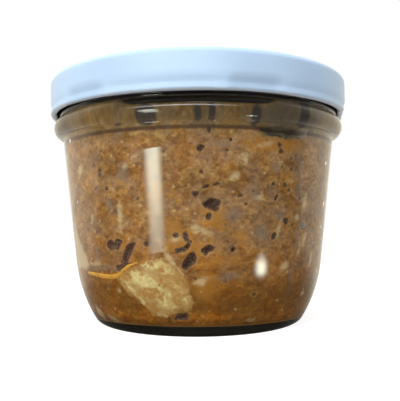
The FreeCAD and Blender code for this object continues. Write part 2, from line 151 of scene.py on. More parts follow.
class FillingLook(bpy.types.PropertyGroup):
    """Colours and grain of the filling."""

    grain: a_length("Grain", "Spacing of the surface mesh", 0.00047)
    reach: a_length("Reach", "How far the filling reaches into the wall", 0.00012)
    level: a_length("Level", "Top of the filling", high("rillettes").z)
    smear: a_length("Smear", "How far it smears the glass above the lean", 0.001)
    dip_azimuth: FloatProperty(name="Dip", description="Azimuth of the sunk place in degrees", default=-55)
    dip_top: a_length("Dip top", "Top of the sunk place", 0.0519)
    dip_reach: a_length("Dip reach", "Half length of the sunk place", 0.0078)
    dip_drop: a_length("Dip drop", "Height of the sunk place", 0.0028)
    dip_depth: a_length("Dip depth", "Depth of the sunk place", 0.003)
    seed: IntProperty(name="Seed", description="Seed of the scattered marks", default=7)
    meat: a_colour("Meat", "Main brown", (0.27, 0.12, 0.028))
    tan: a_colour("Tan", "Paler brown", (0.43, 0.255, 0.082))
    amber: a_colour("Amber", "Orange brown", (0.42, 0.18, 0.02))
    mauve: a_colour("Mauve", "Greyish brown", (0.31, 0.172, 0.082))
    void: a_colour("Hollow", "Painted shade inside a hollow", (0.08, 0.034, 0.024))
    cream: a_colour("Cream", "Specks of fat and painted glints", (0.6, 0.47, 0.25))
    slate: a_colour("Slate", "Grey jelly and painted reflections", (0.2, 0.165, 0.13))
    olive_shade: a_colour("Olive", "Painted shade behind the bead", (0.1, 0.1, 0.042))
    bar: a_colour("Bar", "Painted dark reflections in the bead", (0.045, 0.04, 0.038))
    foot: a_colour("Foot", "Painted shade on the underside", (0.008, 0.009, 0.004))
    fat: a_colour("Pale fat", "Lump of fat", (0.7, 0.58, 0.25))
    yellow: a_colour("Yellow fat", "Strip of fat", (0.7, 0.36, 0.05))


class StudioLook(bpy.types.PropertyGroup):
    """Camera and light."""

    distance: a_length("Distance", "Camera to the jar's axis", 0.17)
    height: a_length("Height", "Camera above the floor", 0.0287)
    aside: a_length("Aside", "Camera to the right of the axis", 0.0004)
    pitch: a_turn("Pitch", "Camera turned up", 2.08)
    roll: a_turn("Roll", "Camera turned about its view", 0.34)
    lens: FloatProperty(name="Lens", description="Focal length", default=51.1, unit="CAMERA")
    sky: FloatProperty(name="Sky", description="Even light from all round", default=0.5, min=0)
    key: FloatProperty(name="Key", description="Power of the main lamp", default=2.75, min=0, unit="POWER")


GROUPS = {
    "jar_sizes": JarSizes,
    "lid_sizes": LidSizes,
    "filling_look": FillingLook,
    "studio_look": StudioLook,
}


# --- mesh helpers


def draw_outline(bm, start, moves, arc_step=6):
    """A wire in the XZ plane. A move is a point to run to, or a centre and an angle to turn by.

    arc_step is the longest step of a turn, in degrees.
    """
    pen = bmesh.ops.create_vert(bm, co=(start[0], 0, start[1]))["vert"][0]
    for move in moves:
        if len(move) == 2:
            made = bmesh.ops.extrude_vert_indiv(bm, verts=[pen])
            pen = made["verts"][0]
            pen.co = (move[0], 0, move[1])
        else:
            x, z, angle = move
            steps = max(2, math.ceil(abs(angle) / math.radians(arc_step)))
            made = bmesh.ops.spin(bm, geom=[pen], cent=(x, 0, z), axis=(0, 1, 0), angle=-angle, steps=steps)
            pen = made["geom_last"][0]


def divide(bm, edge, longest):
    """Divide an edge down to a length."""
    cuts = math.ceil(edge.calc_length() / longest) - 1
    if cuts > 0:
        bmesh.ops.subdivide_edges(bm, edges=[edge], cuts=cuts)


def refine(bm, longest, zone=None):
    """Divide the outline's edges down to a length, all of them or those inside a range of heights."""
    for edge in list(bm.edges):
        middle = (edge.verts[0].co.z + edge.verts[1].co.z) / 2
        if zone and not zone[0] < middle < zone[1]:
            continue
        divide(bm, edge, longest)


def turn_outline(bm, steps):
    """Spin the outline about the jar's axis into a closed skin with its faces out."""
    geom = bm.verts[:] + bm.edges[:]
    whole = 2 * math.pi
    axis = {"cent": (0, 0, 0), "axis": (0, 0, 1)}
    bmesh.ops.spin(bm, geom=geom, angle=whole, steps=steps, use_merge=True, **axis)
    bmesh.ops.remove_doubles(bm, verts=bm.verts[:], dist=SAME_PLACE)
    bmesh.ops.recalc_face_normals(bm, faces=bm.faces[:])


def azimuth_of(co):
    return math.atan2(co.y, co.x)


def radius_of(co):
    return math.hypot(co.x, co.y)


def push_out(vert, shift):
    """Move a point away from the jar's axis."""
    radius = radius_of(vert.co)
    grow = (radius + shift) / radius
    vert.co.x *= grow
    vert.co.y *= grow


def make_object(name, bm, material):
    """The bmesh as an object in the scene."""
    mesh = bpy.data.meshes.new(name)
    bm.to_mesh(mesh)
    bm.free()
    mesh.materials.append(material)
    made = bpy.data.objects.new(name, mesh)
    bpy.context.scene.collection.objects.link(made)
    return made


def make_piece(name, bm, material, node):
    """The finished piece as an object that stands for a CAD node."""
    piece = make_object(name, bm, material)
    piece.data.shade_smooth()
    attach(piece, BODY)
    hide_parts(node)
    return piece


def ease(value, start, end):
    """0 before start, 1 after end, smooth between."""
    t = min(1.0, max(0.0, (value - start) / (end - start)))
    return t * t * (3 - 2 * t)


def ease_all(values, start, end):
    t = np.clip((values - start) / (end - start), 0, 1)
    return t * t * (3 - 2 * t)


# --- material helpers


def new_material(name):
    material = bpy.data.materials.new(name)
    material.use_nodes = True
    tree = material.node_tree
    return material, tree, tree.nodes["Principled BSDF"]


def put(socket, value):
    """Link an output to an input, or give the input a plain number, vector or colour."""
    if isinstance(value, bpy.types.NodeSocket):
        socket.id_data.links.new(value, socket)
    elif socket.type == "RGBA":
        socket.default_value = (*tuple(value)[:3], 1)
    else:
        socket.default_value = value


def add(tree, kind, *inputs, **values):
    """A node with its first inputs and its settings."""
    node = tree.nodes.new(kind)
    for key, value in values.items():
        setattr(node, key, value)
    for socket, value in zip(node.inputs, inputs):
        put(socket, value)
    return node


def set_inputs(node, **values):
    """Values for sockets, named with _ for each space."""
    for key, value in values.items():
        put(node.inputs[key.replace("_", " ")], value)


def tree_of(*values):
    """The node tree of the first socket among some values."""
    return next(value for value in values if isinstance(value, bpy.types.NodeSocket)).id_data


def math_node(operation, *values):
    return add(tree_of(*values), "ShaderNodeMath", *values, operation=operation).outputs[0]


def vector_node(operation, *values):
    return add(tree_of(*values), "ShaderNodeVectorMath", *values, operation=operation).outputs[0]


def multiply(first, second):
    return math_node("MULTIPLY", first, second)


def blend_colour(factor, first, second):
    """Mix two colours, each a socket or a plain colour."""
    node = add(factor.id_data, "ShaderNodeMix", factor, data_type="RGBA")
    put(node.inputs[6], first)
    put(node.inputs[7], second)
    return node.outputs[2]


def step_node(value, start, end, low_value=0.0, high_value=1.0):
    """low_value before start, high_value after end, smooth between."""
    numbers = (value, start, end, low_value, high_value)
    return add(value.id_data, "ShaderNodeMapRange", *numbers, interpolation_type="SMOOTHSTEP").outputs[0]


def band_node(height, rise, fall, strength):
    """Rises over one range of heights and falls over another, both in mm."""
    rising = step_node(height, rise[0] * MM, rise[1] * MM)
    return multiply(rising, step_node(height, fall[0] * MM, fall[1] * MM, strength, 0))


def noise_node(vector, scale, detail, roughness, distortion=0.0):
    node = add(vector.id_data, "ShaderNodeTexNoise", vector)
    set_inputs(node, Scale=scale, Detail=detail, Roughness=roughness, Distortion=distortion)
    return node.outputs[0]


def around_zero(noise, amount):
    return multiply(math_node("SUBTRACT", noise, 0.5), amount)


def dots(vector, scale, choice, edge):
    """Round dots in some of the cells; choice and edge are ranges of the cell's number and distance."""
    cells = add(vector.id_data, "ShaderNodeTexVoronoi", vector)
    set_inputs(cells, Scale=scale)
    chosen = step_node(cells.outputs["Color"], *choice)
    return multiply(step_node(cells.outputs["Distance"], *edge, 1, 0), chosen)


def split_axes(vector):
    return add(vector.id_data, "ShaderNodeSeparateXYZ", vector).outputs


def point_value(tree, name):
    return add(tree, "ShaderNodeAttribute", attribute_name=name).outputs["Fac"]


class Coats:
    """Colours laid over one another."""

    def __init__(self, colour):
        self.colour = colour

    def over(self, factor, colour):
        self.colour = blend_colour(factor, self.colour, colour)

    def scale(self, factor):
        node = add(factor.id_data, "ShaderNodeVectorMath", self.colour, operation="SCALE")
        set_inputs(node, Scale=factor)
        self.colour = node.outputs[0]


def coordinates(tree, scale=(1, 1, 1), turned=(0, 0, 0)):
    """Object coordinates, in metres, turned and then scaled."""
    source = add(tree, "ShaderNodeTexCoord").outputs["Object"]
    turning = add(tree, "ShaderNodeMapping", source)
    set_inputs(turning, Rotation=turned)
    scaling = add(tree, "ShaderNodeMapping", turning.outputs[0])
    set_inputs(scaling, Scale=scale)
    return scaling.outputs[0]


def marble_group():
    """Soft uneven tone, grain and height for anything greasy: shared by the meat and both fats."""
    if "Greasy grain" in bpy.data.node_groups:
        return bpy.data.node_groups["Greasy grain"]
    tree = bpy.data.node_groups.new("Greasy grain", "ShaderNodeTree")
    sockets = {"INPUT": ("Blotch size", "Grain size"), "OUTPUT": ("Blotches", "Grain", "Height")}
    for direction, labels in sockets.items():
        for label in labels:
            tree.interface.new_socket(label, in_out=direction, socket_type="NodeSocketFloat")
    sizes = add(tree, "NodeGroupInput").outputs
    place = coordinates(tree)
    blotches = noise_node(place, math_node("DIVIDE", 1.0, sizes[0]), 3, 0.55, 0.6)
    grain = noise_node(place, math_node("DIVIDE", 1.0, sizes[1]), 3, 0.6)
    add(tree, "NodeGroupOutput", blotches, grain, math_node("ADD", blotches, grain))
    return tree


def use_group(tree, group, **values):
    node = add(tree, "ShaderNodeGroup", node_tree=group)
    set_inputs(node, **values)
    return node.outputs


def bump(shader, height, distance, strength):
    node = add(shader.id_data, "ShaderNodeBump")
    set_inputs(node, Strength=strength, Distance=distance, Height=height)
    set_inputs(shader, Normal=node.outputs[0])


def ray(tree, kind):
    return add(tree, "ShaderNodeLightPath").outputs[f"Is {kind} Ray"]


def either_ray(tree, first, second):
    """1 for rays of two kinds."""
    return math_node("MAXIMUM", ray(tree, first), ray(tree, second))


def finish_mixed(factor, first, second):
    """Mix two shaders into the material's surface."""
    tree = factor.id_data
    mix = add(tree, "ShaderNodeMixShader", factor, first.outputs[0], second.outputs[0])
    set_inputs(tree.nodes["Material Output"], Surface=mix.outputs[0])


# --- the glass


def heel_centre(sizes):
    tangent_radius = sizes.shoulder_radius - (sizes.shoulder_height - sizes.heel_top) * math.tan(sizes.lean)
    x = tangent_radius - sizes.heel_radius * math.cos(sizes.lean)
    return x, sizes.heel_top + sizes.heel_radius * math.sin(sizes.lean)


def corner_round(sizes, heel_radius, radius, height):
    """Centre of the round between the heel and a level floor, and the angle at which they meet."""
    x, z = heel_centre(sizes)
    drop = z - height - radius
    run = math.sqrt((heel_radius - radius) ** 2 - drop**2)
    return x + run, height + radius, math.atan2(-drop, run)


def outside_moves(sizes):
    """The jar's outside, from the axis out along the underside and up to the rim."""
    corner_x, corner_z, split = corner_round(sizes, sizes.heel_radius, sizes.corner_radius, 0)
    foot_inner = corner_x - sizes.foot_width
    dome = (foot_inner**2 + sizes.push_up**2) / (2 * sizes.push_up)
    dome_turn = math.asin(foot_inner / dome)
    heel_x, heel_z = heel_centre(sizes)
    section, bead_x = sizes.bead_section, high("jar").x - sizes.bead_section
    fillet = 0.5 * MM
    lower = math.acos((sizes.shoulder_radius + fillet - bead_x) / (section + fillet))
    upper = math.acos((sizes.neck_radius + fillet - bead_x) / (section + fillet))
    low_z = sizes.bead_height - (section + fillet) * math.sin(lower)
    high_z = sizes.bead_height + (section + fillet) * math.sin(upper)
    return (0, sizes.push_up), (
        (0, sizes.push_up - dome, -dome_turn),
        (corner_x, 0),
        (corner_x, corner_z, split + math.pi / 2),
        (heel_x, heel_z, -sizes.lean - split),
        (sizes.shoulder_radius - 0.3 * MM * math.tan(sizes.lean), sizes.shoulder_height - 0.3 * MM),
        (sizes.shoulder_radius, sizes.shoulder_height + 0.3 * MM),
        (sizes.shoulder_radius, low_z),
        (sizes.shoulder_radius + fillet, low_z, lower - math.pi),
        (bead_x, sizes.bead_height, lower + upper),
        (sizes.neck_radius + fillet, high_z, upper - math.pi),
        (sizes.neck_radius, sizes.rim - sizes.rim_round),
        (sizes.neck_radius - sizes.rim_round, sizes.rim - sizes.rim_round, math.pi / 2),
    )


def wall_foot(sizes, reach):
    """Radius of the inside heel, and where the straight wall starts above it."""
    x, z = heel_centre(sizes)
    radius = sizes.heel_radius - sizes.wall + reach
    return radius, x + radius * math.cos(sizes.lean), z - radius * math.sin(sizes.lean)


def cavity_moves(sizes, reach=0.0):
    """The inside, from the axis out along the floor and up to where the bore starts."""
    radius, wall_x, wall_z = wall_foot(sizes, reach)
    corner_x, corner_z, split = corner_round(sizes, radius, sizes.floor_corner, sizes.floor_height - reach)
    heel_x, heel_z = heel_centre(sizes)
    bore_z = wall_z + (sizes.bore + reach - wall_x) / math.tan(sizes.lean)
    return (0, sizes.floor_height - reach), (
        (corner_x, sizes.floor_height - reach),
        (corner_x, corner_z, split + math.pi / 2),
        (heel_x, heel_z, -sizes.lean - split),
        (sizes.bore + reach, bore_z),
    )


def ridge(sizes, azimuth, height):
    """How far the thread stands out of the neck at a place."""
    lead = 2 * math.pi / LUGS
    along = (azimuth - sizes.thread_start) % lead
    if along > sizes.thread_sweep:
        return 0.0
    fade = ease(along, 0, 0.07) * (1 - ease(along, sizes.thread_sweep - 0.07, sizes.thread_sweep))
    middle = sizes.thread_height + sizes.thread_pitch * along / (2 * math.pi)
    off = abs(height - middle)
    return sizes.thread_reach * fade * (1 - ease(off, sizes.thread_crest / 2, sizes.thread_foot / 2))


def glass_material(sizes):
    material, tree, shader = new_material("clear glass")
    set_inputs(shader, Base_Color=sizes.tint, Roughness=0.0, IOR=1.5, Transmission_Weight=1.0)
    waves = noise_node(coordinates(tree, (1, 1, 0.45)), 60, 1.5, 0.4)
    bump(shader, waves, 0.16 * MM, 0.6)
    clear = add(tree, "ShaderNodeBsdfTransparent")
    finish_mixed(either_ray(tree, "Shadow", "Diffuse"), shader, clear)
    return material


class JAR_OT_glass(bpy.types.Operator):
    """Make the glass of the jar, with its bead and its thread"""

    bl_idname = "jar_maker.glass"
    bl_label = "Glass"

    def execute(self, context):
        sizes = context.scene.jar_sizes
        bm = bmesh.new()
        start, moves = outside_moves(sizes)
        draw_outline(bm, start, moves, arc_step=4)
        refine(bm, 0.22 * MM, THREAD_ZONE)
        refine(bm, 2 * MM)
        start, moves = cavity_moves(sizes)
        rim_inner = (sizes.neck_radius - sizes.rim_round, sizes.rim)
        bore_round = 0.8 * MM
        moves += (
            (sizes.bore, sizes.rim - bore_round),
            (sizes.bore + bore_round, sizes.rim - bore_round, -math.pi / 2),
            rim_inner,
        )
        inside = bmesh.new()
        draw_outline(inside, start, moves, arc_step=4)
        refine(inside, 3 * MM)
        cavity = bpy.data.meshes.new("cavity")
        inside.to_mesh(cavity)
        inside.free()
        bm.from_mesh(cavity)
        bpy.data.meshes.remove(cavity)
        turn_outline(bm, JAR_STEPS)
        for vert in bm.verts:
            if abs(radius_of(vert.co) - sizes.neck_radius) < 0.01 * MM:
                push_out(vert, ridge(sizes, azimuth_of(vert.co), vert.co.z))
        make_piece("jar_glass", bm, glass_material(sizes), "jar")
        return {"FINISHED"}


# --- the lid


def lid_moves(sizes):
    """The outside of the tinplate, from the middle of the lid out and down to the end of the roll."""
    flat = sizes.top - sizes.panel_drop
    foot = sizes.bottom + sizes.curl
    crown = 1.4 * MM
    waist_z = foot + 1.3 * MM
    return (0, flat + sizes.button_rise), (
        (sizes.button_radius - 1 * MM, flat + sizes.button_rise),
        (sizes.button_radius, flat + sizes.button_rise * 0.5),
        (sizes.button_radius + 1 * MM, flat),
        (sizes.panel_radius - 0.4 * MM, flat),
        (sizes.panel_radius + 0.1 * MM, flat + 0.08 * MM),
        (sizes.panel_radius + crown * 0.5, flat + sizes.panel_drop * 0.5),
        (sizes.panel_radius + crown * 0.9, sizes.top - 0.08 * MM),
        (sizes.panel_radius + crown * 1.3, sizes.top),
        (sizes.radius - sizes.shoulder, sizes.top),
        (sizes.radius - sizes.shoulder, sizes.top - sizes.shoulder, -math.pi / 2),
        (sizes.radius, waist_z + 1.6 * MM),
        (sizes.radius - sizes.waist * 0.5, waist_z + 0.7 * MM),
        (sizes.radius - sizes.waist, waist_z),
        (sizes.radius - sizes.waist, waist_z - 0.4 * MM),
        (sizes.radius, foot),
        (sizes.radius - sizes.curl, foot, -1.45 * math.pi),
    )


def press_lugs(bm, sizes):
    """Press the rolled edge in at each lug, so that its bulge shows only beside them."""
    lead = 2 * math.pi / LUGS
    top = sizes.bottom + 2 * sizes.curl + 0.8 * MM
    for vert in bm.verts:
        height = vert.co.z
        radius = radius_of(vert.co)
        if height > top + 1.5 * MM or radius < sizes.radius - 3 * MM:
            continue
        off = (azimuth_of(vert.co) - sizes.lug_azimuth + lead / 2) % lead - lead / 2
        half = sizes.lug_width / 2
        pressed = 1 - ease(abs(off), half - 0.06, half + 0.035)
        shoulder = math.exp(-(((abs(off) - half - 0.02) / 0.045) ** 2))
        near = 1 - ease(height, top - 0.8 * MM, top + 1.5 * MM)
        shift = (-0.55 * pressed + 0.16 * shoulder) * MM * near
        push_out(vert, min(shift, sizes.radius - radius))
        vert.co.z += 0.22 * MM * pressed * near


def lacquer_material(sizes):
    material, tree, shader = new_material("white lacquer")
    place = coordinates(tree)
    cloud = noise_node(place, 45, 3, 0.5)
    speck = noise_node(place, 1400, 2, 0.6)
    white = Vector(sizes.lacquer)
    coats = Coats(blend_colour(step_node(cloud, 0.3, 0.7), white * 0.97, white * 1.02))
    coats.over(multiply(step_node(speck, 0.45, 0.75), 0.12), white * 0.9)
    height = split_axes(place)["Z"]
    # painted shade: grey on the underside of the rolled edge
    painted_underside_shade = step_node(height, sizes.bottom + 0.25 * MM, sizes.bottom + 0.8 * MM, 0.6, 0)
    coats.over(painted_underside_shade, (0.5, 0.5, 0.48))
    gloss = step_node(cloud, 0.2, 0.8, 0.26, 0.36)
    set_inputs(shader, Base_Color=coats.colour, Roughness=gloss, Specular_IOR_Level=0.35)
    bump(shader, noise_node(place, 900, 2, 0.5), 0.02 * MM, 0.25)
    return material


class JAR_OT_lid(bpy.types.Operator):
    """Make the lid, with its rolled edge and its lugs"""

    bl_idname = "jar_maker.lid"
    bl_label = "Lid"

    def execute(self, context):
        sizes = context.scene.lid_sizes
        bm = bmesh.new()
        start, moves = lid_moves(sizes)
        draw_outline(bm, start, moves, arc_step=9)
        refine(bm, 1.2 * MM)
        turn_outline(bm, LID_STEPS)
        press_lugs(bm, sizes)
        for face in bm.faces:
            if face.normal.z < 0 and face.calc_center_median().z > sizes.top - 1.2 * MM:
                bmesh.ops.reverse_faces(bm, faces=bm.faces[:])
                break
        piece = make_piece("lid_shell", bm, lacquer_material(sizes), "lid")
        plate = piece.modifiers.new("tinplate", "SOLIDIFY")
        plate.thickness = sizes.gauge
        plate.offset = -1
        plate.material_offset = 1
        piece.data.materials.append(inside_shade_material(sizes))
        return {"FINISHED"}


def cloudy_material(name, dark, light, scale, grain, **finish):
    """A plain finish whose tone drifts between two colours, with the shader and noise that make it."""
    material, tree, shader = new_material(name)
    cloud = noise_node(coordinates(tree), scale, 3, grain)
    set_inputs(shader, Base_Color=blend_colour(step_node(cloud, 0.3, 0.7), dark, light), **finish)
    return material, shader, cloud


# the inside of the lid is painted dark as shade
def inside_shade_material(sizes):
    dark = Vector(sizes.inside)
    return cloudy_material("inside lacquer painted dark as shade", dark * 0.8, dark * 1.3, 90, 0.5, Roughness=0.35)[0]


def compound_material(sizes):
    grey = Vector(sizes.compound)
    material, shader, grain = cloudy_material("sealing compound", grey * 0.9, grey, 700, 0.6, Roughness=0.6)
    bump(shader, grain, 0.03 * MM, 0.5)
    return material


class JAR_OT_seal(bpy.types.Operator):
    """Make the ring of sealing compound inside the lid"""

    bl_idname = "jar_maker.seal"
    bl_label = "Sealing ring"

    def execute(self, context):
        lowest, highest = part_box("gasket")
        inner = context.scene.jar_sizes.bore - 0.6 * MM
        outer, foot, top = highest.x, lowest.z, highest.z
        edge = 0.4 * MM
        bm = bmesh.new()
        moves = (
            (outer - edge, foot),
            (outer - edge, foot + edge, math.pi / 2),
            (outer, top),
            (inner, top),
            (inner, foot + edge),
            (inner + edge, foot + edge, math.pi / 2),
        )
        draw_outline(bm, (inner + edge, foot), moves, arc_step=22)
        bmesh.ops.remove_doubles(bm, verts=bm.verts[:], dist=SAME_PLACE)
        turn_outline(bm, SEAL_STEPS)
        material = compound_material(context.scene.lid_sizes)
        piece = make_piece("seal_ring", bm, material, "gasket")
        piece.data.set_sharp_from_angle(angle=math.radians(50))
        return {"FINISHED"}


# --- the filling

# Marks on the filling, each: azimuth from the front in degrees, height, half width, half height, tilt in
# degrees (up to the right is positive), depth; lengths in mm.
HOLLOWS = (
    (1, 46, 0.9, 0.8, 0, 0.9), (4, 50, 0.4, 0.6, 0, 0.6), (12, 48, 0.4, 0.4, 0, 0.6),
    (3, 37, 1.0, 0.4, 20, 0.8), (7, 37.5, 1.1, 0.3, 10, 0.8), (4, 30, 0.5, 0.6, -15, 0.8),
    (14, 22, 0.6, 0.6, 0, 0.9), (32, 25, 0.5, 0.7, -30, 0.8), (-5, 25, 0.4, 0.9, 15, 0.6),
    (-9, 25.5, 0.5, 0.4, 0, 0.6), (-21, 23.5, 0.6, 0.5, 0, 0.7), (-39, 23, 1.1, 1.1, 0, 0.9),
    (-42, 41, 0.4, 0.8, 0, 0.5), (-39, 37, 0.5, 0.5, 0, 0.5), (32, 34.5, 0.4, 0.6, -20, 0.6),
    (49, 27.5, 1.4, 0.7, -15, 0.8), (38, 28.5, 0.7, 0.5, -45, 0.5),
)
# specks of fat; the ones low on the heel and near the right edge are painted glints
CREAM_AND_GLINT_MARKS = (
    (14, 39.5, 1.2, 0.9, 10), (18, 43.5, 0.6, 0.9, 0), (-56, 42.5, 1.1, 1.6, -15), (-9, 24.5, 1.3, 0.5, 0),
    (-50, 29.5, 0.5, 0.9, -20), (-24, 44.5, 0.8, 0.4, 20), (-33, 30, 0.6, 2.6, 0), (39, 17.5, 1.2, 0.8, 30),
    (27, 47.5, 1.5, 0.4, 15), (34, 26.5, 0.4, 1.2, -20), (49, 33.5, 0.6, 1.8, -15), (51, 24, 0.4, 1.3, -15),
    (47, 20.5, 0.5, 1.6, -20), (58, 18.5, 0.5, 1.1, -20), (-6, 11, 1.3, 0.4, -30), (-59, 5, 1.3, 1.9, 35),
    (-47, 4, 1.3, 0.4, -15), (56, 10, 0.5, 0.8, 0), (26, 4.5, 1.0, 0.4, 0), (-52, 18, 2.6, 0.3, 0),
    (31, 51, 1.0, 0.3, -10), (36, 50.5, 0.7, 0.3, 0), (1, 14.5, 1.4, 0.8, 20),
)
# grey jelly, except the tall streaks near azimuth 43 to 46 on the right, which are painted reflections
JELLY_AND_REFLECTION_MARKS = (
    (-44, 45.5, 0.9, 1.9, 0), (-31, 50.5, 0.8, 0.9, 0), (-30, 41, 1.4, 2.4, -10), (-38, 33.5, 1.0, 1.5, 0),
    (31, 41.5, 0.7, 1.0, 0), (43, 43.5, 0.9, 3.6, 0), (44, 36.5, 1.0, 3.6, -5), (46, 22, 0.8, 4.0, 5),
    (43, 15, 0.8, 3.5, 5), (35, 30, 1.3, 1.2, 0), (14, 30.5, 2.2, 1.6, 20), (26, 26, 2.0, 1.5, -15),
    (-49, 20.5, 1.4, 2.2, 0), (12, 15.5, 2.2, 1.0, 10), (9, 47, 2.2, 0.9, 0), (22, 35.5, 1.6, 2.2, 0),
    (-47, 17, 7.0, 0.8, 0), (38, 54.5, 12.0, 3.0, 0),
)
AMBER_MARKS = (
    (4, 31, 4.6, 1.0, -5), (6, 19, 2.6, 1.3, 10), (-29, 19, 2.2, 0.9, -15), (-10, 27, 2.6, 1.8, -15),
    (8, 28.5, 2.6, 1.5, -30), (17, 25, 1.6, 2.0, 0), (-36, 29, 2.0, 0.9, 5), (-16, 35.5, 1.4, 2.4, 0),
    (-2, 12.5, 3.6, 0.7, -30), (-33, 14, 3.0, 1.0, -20), (14, 19.5, 2.0, 1.4, 0), (12, 52.5, 2.4, 0.9, 0),
    (33, 47.5, 9.0, 1.6, 0), (-2, 22, 2.6, 2.4, 30), (-7, 24, 3.4, 3.0, 0), (3, 13, 3.4, 3.2, 0),
)
# painted reflections: the dark bars that the bead shows, laid on the filling behind it
BEAD_REFLECTION_BARS = (
    (-19, 54.5, 2.6, 3.0, 0), (0, 54.5, 0.8, 3.0, 0), (5, 54.5, 0.8, 3.0, 0), (21, 54.5, 1.3, 3.0, 0),
    (-31, 53, 1.2, 1.0, 0), (43, 54.5, 1.6, 3.0, 0),
)
# The larger hollows, each: depth, then corners as azimuth from the front and height. The material makes
# their edges ragged.
HOLLOW_SHAPES = (
    (1.3, (1, 33), (4.5, 34.5), (9, 33.5), (7.5, 31), (2.5, 32)),
    (1.0, (-2.5, 35.5), (1.5, 36), (-1, 34)),
    (1.3, (-2, 21.5), (-0.5, 20), (-1, 19), (-5, 17), (-7, 18), (-4, 21)),
    (1.1, (1, 22), (4, 23), (6.5, 22.5), (2.5, 20.5)),
    (1.0, (-9.5, 22), (-6, 22.5), (-3, 24), (-4, 22), (-9, 21)),
    (0.9, (-29, 23.5), (-26.5, 23.5), (-31, 18.5), (-35, 18.5)),
    (0.9, (-36, 24.5), (-33, 24), (-35.5, 21.5), (-37.5, 22)),
    (1.0, (-12.5, 5), (-9, 6.5), (-5, 6.5), (-5, 5)),
    (0.5, (-37, 18), (-29, 18.5), (-29, 17), (-36.5, 16.5)),
)
# the second shape, at the left of the heel, is a painted reflection
CREAM_AND_GLINT_SHAPES = (
    ((-16, 23), (-11, 20.5), (-6.5, 16), (-12, 19)),
    ((-72, 30), (-56, 17.5), (-62, 16), (-72, 17)),
    ((-3.5, 27.5), (-1, 28), (8.5, 25), (3, 26)),
)


class Places:
    """Where every point of the filling is: azimuth in degrees, height and radius in mm."""

    def __init__(self, points):
        self.x, self.y, self.height = points.T / MM
        self.radius = np.hypot(self.x, self.y)
        self.azimuth = np.degrees(np.arctan2(self.y, self.x))

    def across(self, middle):
        """Distance in mm round the wall from an azimuth that counts from the front."""
        return np.radians((self.azimuth - FRONT - middle + 180) % 360 - 180) * self.radius


def inside_of(corners, places):
    """Distance in mm inside a drawn shape, negative outside, for every point."""
    middle = sum(corner[0] for corner in corners) / len(corners)
    across, height = places.across(middle), places.height
    inside = np.zeros(len(height), bool)
    nearest = np.full(len(height), FAR)
    for (first_a, first_z), (next_a, next_z) in zip(corners, corners[1:] + corners[:1]):
        first_x, next_x = (np.radians(a - middle) * places.radius for a in (first_a, next_a))
        run, rise = next_x - first_x, next_z - first_z
        along = ((across - first_x) * run + (height - first_z) * rise) / (run**2 + rise**2 + 1e-9)
        along = np.clip(along, 0, 1)
        off = np.hypot(across - first_x - along * run, height - first_z - along * rise)
        nearest = np.minimum(nearest, off)
        if rise:
            crossed = (first_z > height) != (next_z > height)
            inside ^= crossed & (across < first_x + (height - first_z) / rise * run)
    return np.where(inside, nearest, -nearest)


def field_of(marks, places):
    """Distance in mm inside the nearest mark, negative outside, for every point."""
    field = np.full(len(places.height), OUTSIDE)
    for middle, level, half_width, half_height, tilt, *_ in marks:
        across, up = places.across(middle), places.height - level
        angle = math.radians(tilt)
        along = across * math.cos(angle) + up * math.sin(angle)
        over = up * math.cos(angle) - across * math.sin(angle)
        reach = np.hypot(along / half_width, over / half_height)
        field = np.maximum(field, (1 - reach) * min(half_width, half_height))
    return field


def hollow_depth(marks, places):
    """How far in mm the hollows run into the filling."""
    depth = np.zeros(len(places.height))
    for mark in marks:
        inside = field_of((mark,), places) / min(mark[2], mark[3])
        depth = np.maximum(depth, mark[5] * ease_all(inside, -0.1, 0.55))
    for deepest, *corners in HOLLOW_SHAPES:
        depth = np.maximum(depth, deepest * ease_all(inside_of(corners, places), -0.05, 0.6))
    return depth


def scatter(random, count, half_sizes, levels=(8, 53), depths=(0.7, 1.6), span=(62, 298)):
    """Seeded marks like the ones above, by default for the part of the wall that they leave free."""
    marks = []
    for _ in range(count):
        middle = random.uniform(*span)
        size = random.uniform(*half_sizes) * random.choice((0.6, 1.0, 1.5), p=(0.55, 0.33, 0.12))
        flat = random.uniform(0.6, 1.0)
        level, tilt, depth = random.uniform(*levels), random.uniform(-50, 50), random.uniform(*depths)
        marks.append((middle, level, size, size * flat, tilt, depth))
    return tuple(marks)


def all_marks(seed):
    """The listed and the seeded marks of each kind."""
    random = np.random.default_rng(seed)
    marks = {
        "hollow": HOLLOWS + scatter(random, 130, (0.3, 0.8), depths=(0.5, 1.0)),
        "cream": CREAM_AND_GLINT_MARKS + scatter(random, 60, (0.5, 1.2)),
        "slate": JELLY_AND_REFLECTION_MARKS + scatter(random, 60, (0.8, 2.0)),
        "amber": AMBER_MARKS + scatter(random, 45, (1.2, 2.8)),
        "bar": BEAD_REFLECTION_BARS,
    }
    front = {"span": (-50, 46), "levels": (9, 48), "depths": (0.4, 0.6)}
    marks["hollow"] += scatter(random, 34, (0.3, 0.42), **front)
    marks["cream"] += scatter(random, 22, (0.3, 0.5), **front)
    return marks


